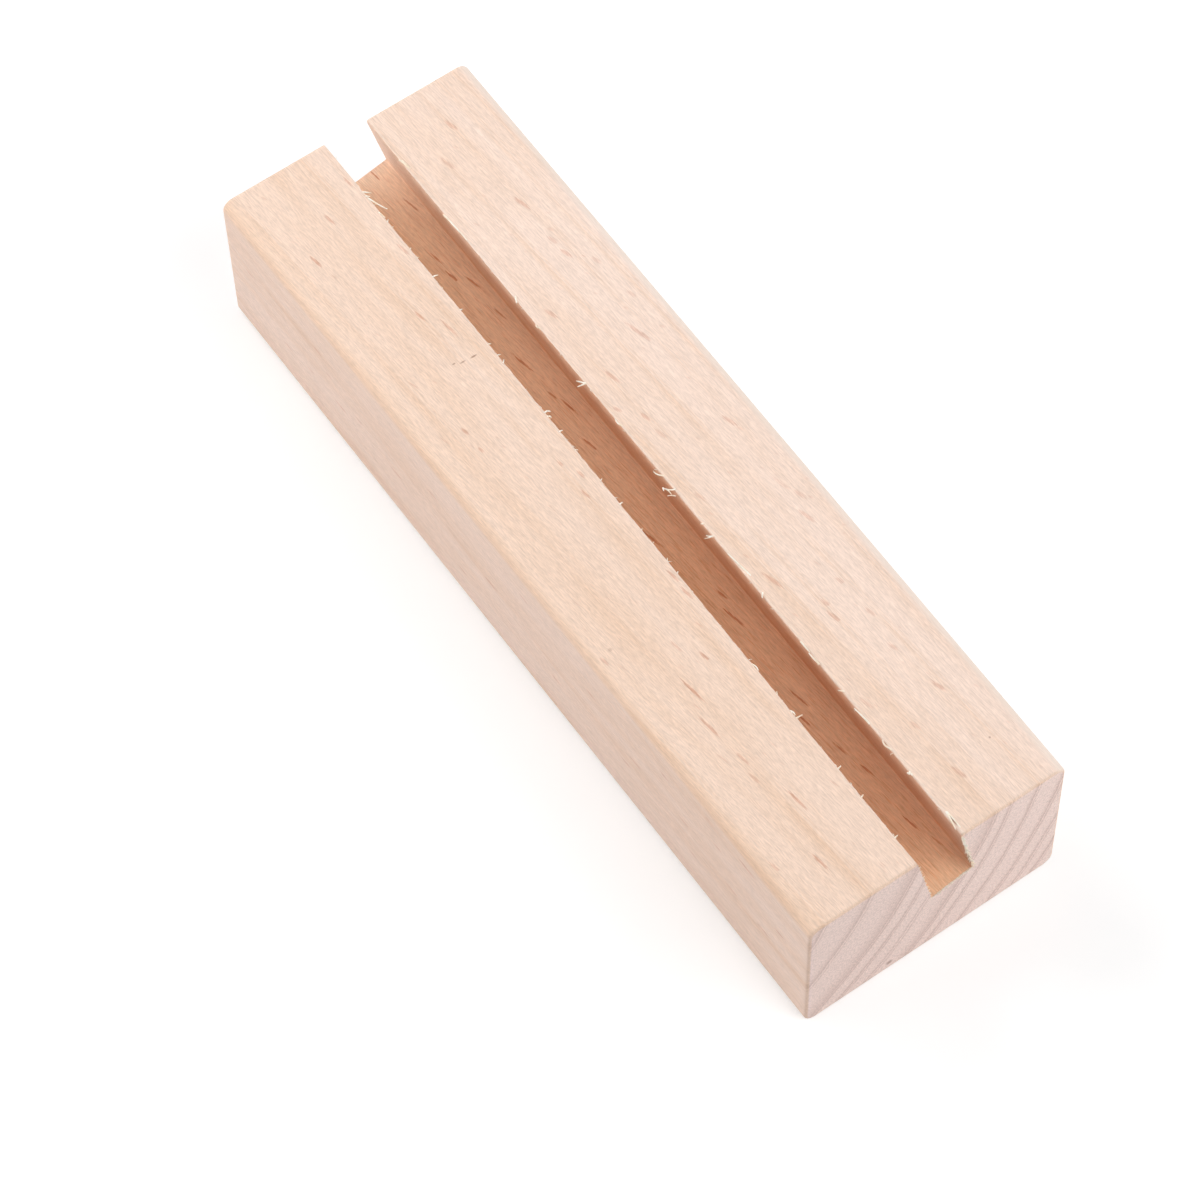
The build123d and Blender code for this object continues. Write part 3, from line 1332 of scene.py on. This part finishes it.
@dataclass(frozen=True)
class SlotFibres:
    """The torn wood along the slot's edges: a fuzz of short fibres, and the longer strands one by one."""

    block: BeechBlock

    # Fuzz on the slot's long edges and on the near ends of its walls, both back before front, and on the
    # near end of its floor.
    fuzz_margin: float = 3.5
    fuzz_depth: float = 0.05
    near_drop: float = 0.5
    edge_fuzz: tuple[Fuzz, Fuzz] = (
        Fuzz(30, 0.45, 0.16, (-5, 30), (-170, -10), 12),
        Fuzz(16, 0.45, 0.16, (-5, 30), (10, 170), 10),
    )
    wall_fuzz: tuple[Fuzz, Fuzz] = (
        Fuzz(18, 0.34, 0.30, (-45, 10), (-170, -100), 22),
        Fuzz(120, 0.52, 0.30, (-45, 10), (95, 200), 20),
    )
    floor_fuzz: Fuzz = Fuzz(60, 0.40, 0.28, (-40, 0), (130, 230), 31)

    # Longer strands: their full radius, how far back and down their roots reach, and how much they thin out.
    strand_radius: float = 0.13
    root_reach: float = 0.15
    root_drop: float = 0.1
    strand_taper: float = 0.55
    front_strands: tuple[Strand, ...] = (
        Strand(((13.28, -0.08, -0.04), (13.74, 0.41, 0.1), (14.13, 0.7, 0.1))),
        Strand(((13.25, -0.08, -0.04), (13.25, 0.51, 0.12), (13.33, 1.07, 0.15))),
        Strand(((-2.44, -0.16, -0.04), (-1.95, 0.45, 0.1), (-1.37, 0.52, 0.12))),
        Strand(((-4.7, -0.18, -0.04), (-4.58, 0.38, 0.1), (-3.88, 0.95, 0.12))),
        Strand(((-3.9, 0.93, 0.12), (-4.19, 1.09, 0.1)), 0.8),
        Strand(((-4.25, 0.66, 0.11), (-4.7, 0.59, 0.13), (-5.1, 0.6, 0.1)), 0.75),
        Strand(((-5.42, 0.44, 0.1), (-5.2, 0.72, 0.14), (-4.98, 1.1, 0.08)), 0.7),
        Strand(((-12.36, -0.05, -0.04), (-12.15, 0.47, 0.1), (-11.94, 0.57, 0.12)), 0.7),
        Strand(((-12.36, -0.05, -0.04), (-12.38, 0.58, 0.12), (-12.17, 0.97, 0.12)), 0.7),
        Strand(((-50.52, -0.13, -0.02), (-50.15, 0.19, 0.1))),
        Strand(((-50.6, -0.1, 0.0), (-50.3, 0.1, 0.12))),
        Strand(((-56.65, -0.41, -0.02), (-57.9, -0.2, 0.15), (-59.02, 0.07, 0.1))),
        Strand(((-56.6, -0.5, -0.06), (-57.9, -0.54, 0.0), (-59.1, -0.56, -0.02))),
        Strand(((-50.45, -0.1, 0.0), (-50.2, 0.27, 0.14))),
        Strand(((-50.25, -0.1, 0.0), (-50.5, 0.2, 0.12))),
        Strand(((42.72, 0.08, 0.0), (40.4, 0.0, 0.06), (38.18, -0.12, 0.0))),
        Strand(((52.5, -0.05, 0.0), (51.6, -0.16, 0.06), (50.7, -0.3, 0.0))),
        Strand(((52.3, -0.25, -0.02), (51.6, -0.32, 0.05), (50.8, -0.46, -0.02))),
        Strand(((28.1, -0.25, -0.02), (27.6, 0.02, 0.08), (27.2, 0.18, 0.08))),
        Strand(((22.8, -0.05, -0.02), (23.1, 0.2, 0.08), (23.4, 0.05, 0.06))),
        Strand(((6.1, -0.1, -0.02), (6.6, 0.14, 0.08), (7.15, -0.05, 0.0))),
        Strand(((-10.35, -0.05, -0.02), (-10.3, 0.18, 0.06))),
        Strand(((-19.2, -0.55, -0.05), (-17.0, -0.26, 0.04), (-15.3, -0.1, 0.0))),
        Strand(((-21.9, -0.3, -0.02), (-22.2, 0.0, 0.08), (-22.45, 0.15, 0.08))),
        Strand(((-29.7, -0.1, -0.02), (-30.5, -0.04, 0.05), (-31.3, -0.1, 0.0))),
        Strand(((-33.0, -0.05, -0.02), (-32.2, 0.1, 0.06), (-31.35, 0.08, 0.06))),
        Strand(((-37.6, -0.25, -0.02), (-37.2, 0.28, 0.1))),
        Strand(((-42.5, -0.12, -0.02), (-41.2, 0.02, 0.08), (-40.1, 0.16, 0.1))),
        Strand(((-46.6, -0.1, -0.02), (-45.7, 0.26, 0.1), (-45.2, -0.08, 0.02))),
    )
    back_strands: tuple[Strand, ...] = (
        Strand(((51.3, 0.0, -0.04), (51.03, 0.2, 0.06), (50.53, 0.68, 0.08))),
        Strand(((50.6, -0.05, -0.02), (50.2, 0.25, 0.1))),
        Strand(((50.2, 0.0, -0.04), (48.45, 0.47, 0.1), (47.45, 0.92, 0.12))),
        Strand(((47.6, -0.1, 0.0), (46.6, 0.05, 0.05))),
        Strand(((36.24, 0.0, -0.04), (36.15, 0.35, 0.08), (36.01, 0.62, 0.08))),
        Strand(((12.8, 0.0, -0.04), (12.69, 0.45, 0.1), (12.42, 0.54, 0.1))),
        Strand(((12.1, 0.0, -0.04), (11.93, 0.2, 0.08), (11.68, 0.15, 0.05))),
        Strand(((9.62, 0.0, -0.02), (9.49, 0.29, 0.08))),
        Strand(((-2.59, -0.02, -0.02), (-2.63, 0.31, 0.08))),
        Strand(((-28.8, 0.02, -0.02), (-29.3, 0.16, 0.06), (-29.8, 0.06, 0.02))),
        Strand(((-36.2, 0.02, -0.02), (-36.6, 0.14, 0.06), (-36.9, 0.06, 0.02))),
        Strand(((-37.22, 0.0, -0.02), (-37.36, 0.73, 0.1))),
        Strand(((-45.17, 0.0, -0.02), (-45.13, 0.4, 0.08))),
        Strand(((-49.57, 0.0, -0.02), (-49.5, 0.3, 0.08))),
        Strand(((-55.83, -0.03, -0.02), (-55.81, 0.4, 0.1))),
    )

    # Nubs on the back edge: where each starts and ends along the bar, and how far into the slot it reaches.
    nubs: tuple[Place, ...] = (
        (46.0, 46.2, 0.22), (41.1, 41.2, 0.16), (39.6, 39.5, 0.18), (30.5, 30.4, 0.16), (24.5, 24.3, 0.24),
        (22.6, 22.4, 0.3), (21.4, 21.6, 0.24), (6.5, 6.2, 0.18), (1.35, 1.4, 0.24), (-6.9, -6.8, 0.16),
        (-12.0, -11.7, 0.22), (-14.0, -13.9, 0.2), (-33.5, -33.2, 0.16),
    )
    nub_heights: Pair = (-0.02, 0.06)
    nub_girth: float = 0.7

    def build(self, material: bpy.types.Material) -> list[bpy.types.Object]:
        """Makes all the fibres.

        Args:
            material: their finish.

        Returns:
            The fuzz along each edge, and the strands.
        """
        tree = FuzzTree()
        pieces = [tree.grow(name, ends, fuzz, material) for name, ends, fuzz in self._fuzzy_edges()]
        pieces.append(self._torn_strands(material))
        return pieces

    def _fuzzy_edges(self) -> Iterator[tuple[str, Sequence[Place], Fuzz]]:
        """Finds the torn edges: the slot's two long ones, and where its walls and floor meet the near end.

        Yields:
            The fibres' name, the edge's two ends and the fuzz on it.
        """
        block = self.block
        reach = block.length / 2 - self.fuzz_margin
        for side, fuzz in zip(Arris, self.edge_fuzz):
            edge = block.edge(side, self.fuzz_depth)
            yield f"slot_fuzz_{side.name.lower()}", ((-reach, *edge), (reach, *edge)), fuzz
        near = -block.length / 2 + self.fuzz_depth
        feet = [(near, *block.floor_corner(side)) for side in Arris]
        for side, foot, fuzz in zip(Arris, feet, self.wall_fuzz):
            top = (near, *block.edge(side, self.near_drop))
            yield f"near_fuzz_{side.name.lower()}", (top, foot), fuzz
        yield "near_fuzz_floor", feet, self.floor_fuzz

    def _torn_strands(self, material: bpy.types.Material) -> bpy.types.Object:
        """Makes the longer strands and the nubs.

        Args:
            material: their finish.

        Returns:
            All of them as one object.
        """
        curve = bpy.data.curves.new("torn_strands", "CURVE")
        curve.dimensions = "3D"
        curve.bevel_depth = self.strand_radius * MM
        curve.bevel_resolution = 1
        curve.resolution_u = 6
        curve.use_fill_caps = True
        root, tip = self.nub_heights
        nubs = [Strand(((x, 0.0, root), (end, into, tip)), self.nub_girth) for x, end, into in self.nubs]
        for side, strands in zip(Arris, ((*self.back_strands, *nubs), self.front_strands)):
            for strand in strands:
                self._add_strand(curve, side, strand)
        piece = settled(add_piece("torn_strands_line", curve), "torn_strands")
        piece.data.materials.clear()
        piece.data.materials.append(material)
        piece.data.shade_smooth()
        return piece

    def _add_strand(self, curve: bpy.types.Curve, side: Arris, strand: Strand) -> None:
        """Adds one strand to the curve, from inside the wood out to a thin curled tip.

        Args:
            curve: the curve of all the strands.
            side: the slot edge that it is on.
            strand: the strand.
        """
        edge_y, top = self.block.edge(side)
        places = [Vector((x, edge_y - side.value * into, top + up)) for x, into, up in strand.points]
        way = (places[1] - places[0]).normalized()
        places.insert(0, places[0] - way * self.root_reach - Vector((0, 0, self.root_drop)))
        spline = curve.splines.new("NURBS")
        spline.points.add(len(places) - 1)
        for spot, (point, place) in enumerate(zip(spline.points, places)):
            point.co = (*(place * MM), 1.0)
            point.radius = strand.girth * (1.0 - self.strand_taper * (spot / (len(places) - 1)) ** 2)
        spline.order_u = 3
        spline.use_endpoint_u = True


@dataclass(frozen=True)
class Panel:
    """A light panel that faces the block: its place and size in metres, and its power in watts."""

    name: str
    place: Place
    size: Pair
    power: float


@dataclass(frozen=True)
class Studio:
    """The pale floor, the soft lights and the camera, in metres."""

    camera_place: Place = (-0.22938, 0.15664, 0.49467)
    camera_aim: Place = (-0.00615, 0.00871, 0.012)
    camera_roll: float = math.radians(-1.917)
    lens: float = 140.1
    film: float = 36.0
    nearest: float = 0.01

    # The floor, and its glow close to the block and far from it.
    floor_size: float = 6.0
    floor_tint: Tint = Tint(220, 220, 220)
    glow_range: Pair = (0.25, 1.1)
    glow_levels: Pair = (0.40, 0.85)

    # The light: a sky, with its tilt along X and Y, and panels.
    horizon: float = 0.46
    zenith: float = 0.32
    sky_tilt: Pair = (0.35, -0.35)
    panel_aim: Place = (0.0, 0.0, 0.012)
    panels: tuple[Panel, ...] = (
        Panel("key_panel", (-0.95, -0.55, 1.10), (1.4, 0.6), 14.0),
        Panel("top_panel", (0.34, 0.11, 0.42), (0.25, 0.25), 0.76),
        Panel("side_card", (0.42, 0.55, 0.245), (0.7, 0.22), 2.4),
    )

    def build(self) -> None:
        """Sets the floor, the light and the camera up."""
        self._floor()
        self._sky()
        for panel in self.panels:
            self._hang(panel)
        self._camera()
        bpy.context.scene.view_settings.view_transform = "Standard"

    def _floor(self) -> None:
        """Lays the floor. A faint glow that lights nothing brings it to white and leaves its shadows."""
        half = self.floor_size / 2
        mesh = bpy.data.meshes.new("floor")
        rim = [(-half, -half, 0), (half, -half, 0), (half, half, 0), (-half, half, 0)]
        mesh.from_pydata(rim, [], [(0, 1, 2, 3)])
        material = bpy.data.materials.new("pale_floor")
        graph = Graph.of(material)
        matte = graph.node("ShaderNodeBsdfDiffuse", {"Color": self.floor_tint.linear()}).outputs[0]
        distance = graph.vector_math("LENGTH", {0: graph.coordinates()})["Value"]
        level = graph.step(distance, *self.glow_range, *self.glow_levels)
        strength = graph.times(self._seen(graph), level)
        glow = graph.node("ShaderNodeEmission", {"Strength": strength}).outputs[0]
        both = graph.node("ShaderNodeAddShader", {0: matte, 1: glow}).outputs[0]
        graph.node("ShaderNodeOutputMaterial", {"Surface": both})
        mesh.materials.append(material)
        add_piece("floor", mesh)

    @staticmethod
    def _seen(graph: Graph) -> Socket:
        """Returns 1 for what is seen, in a mirror or through glass too, and 0 for light on its way."""
        path = graph.node("ShaderNodeLightPath").outputs
        return graph.most(*(path[f"Is {kind} Ray"] for kind in ("Camera", "Glossy", "Transmission")))

    def _sky(self) -> None:
        """Lights everything from a sky that is brighter low down, past the far end and in front.

        It is seen as plain white.
        """
        world = bpy.data.worlds.new("soft_sky")
        graph = Graph.of(world)
        along, across, height = graph.axes(graph.coordinates("Generated"))
        level = graph.math("MULTIPLY_ADD", height, self.zenith - self.horizon, self.horizon)
        tilt = graph.math("MULTIPLY_ADD", across, self.sky_tilt[1], 1.0)
        tilt = graph.math("MULTIPLY_ADD", along, self.sky_tilt[0], tilt)
        light = graph.times(level, tilt)
        strength = graph.math("MULTIPLY_ADD", self._seen(graph), graph.math("SUBTRACT", 1.0, light), light)
        feeds = {"Color": (1.0, 1.0, 1.0, 1.0), "Strength": strength}
        sky = graph.node("ShaderNodeBackground", feeds).outputs[0]
        graph.node("ShaderNodeOutputWorld", {"Surface": sky})
        bpy.context.scene.world = world

    def _hang(self, panel: Panel) -> None:
        """Hangs a light panel.

        Args:
            panel: the panel.
        """
        light = bpy.data.lights.new(panel.name, "AREA")
        light.shape = "RECTANGLE"
        light.size, light.size_y = panel.size
        light.energy = panel.power
        add_piece(panel.name, light).matrix_world = facing(panel.place, self.panel_aim)

    def _camera(self) -> None:
        """Puts the camera where the block is seen at the photograph's angle."""
        data = bpy.data.cameras.new("camera")
        data.lens = self.lens
        data.sensor_width = self.film
        data.sensor_fit = "HORIZONTAL"
        data.clip_start = self.nearest
        camera = add_piece("camera", data)
        roll = Matrix.Rotation(self.camera_roll, 4, "Z")
        camera.matrix_world = facing(self.camera_place, self.camera_aim) @ roll
        bpy.context.scene.camera = camera


def main() -> None:
    """Builds the bar, its torn fibres and the studio, and logs each piece's face count."""
    logging.basicConfig(level=logging.INFO, format="%(name)s: %(message)s")
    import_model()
    block = BeechBlock.from_frame(BLOCK_NODE)
    bar = block.build(BeechWood(BeechFinish()).dressed())
    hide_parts(BLOCK_NODE)
    pieces = [bar, *SlotFibres(block).build(FibreFinish().material())]
    for piece in pieces:
        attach(piece, BODY)
        LOG.info("%s: %d faces", piece.name, len(piece.data.polygons))
    Studio().build()


if __name__ == "__main__":
    main()
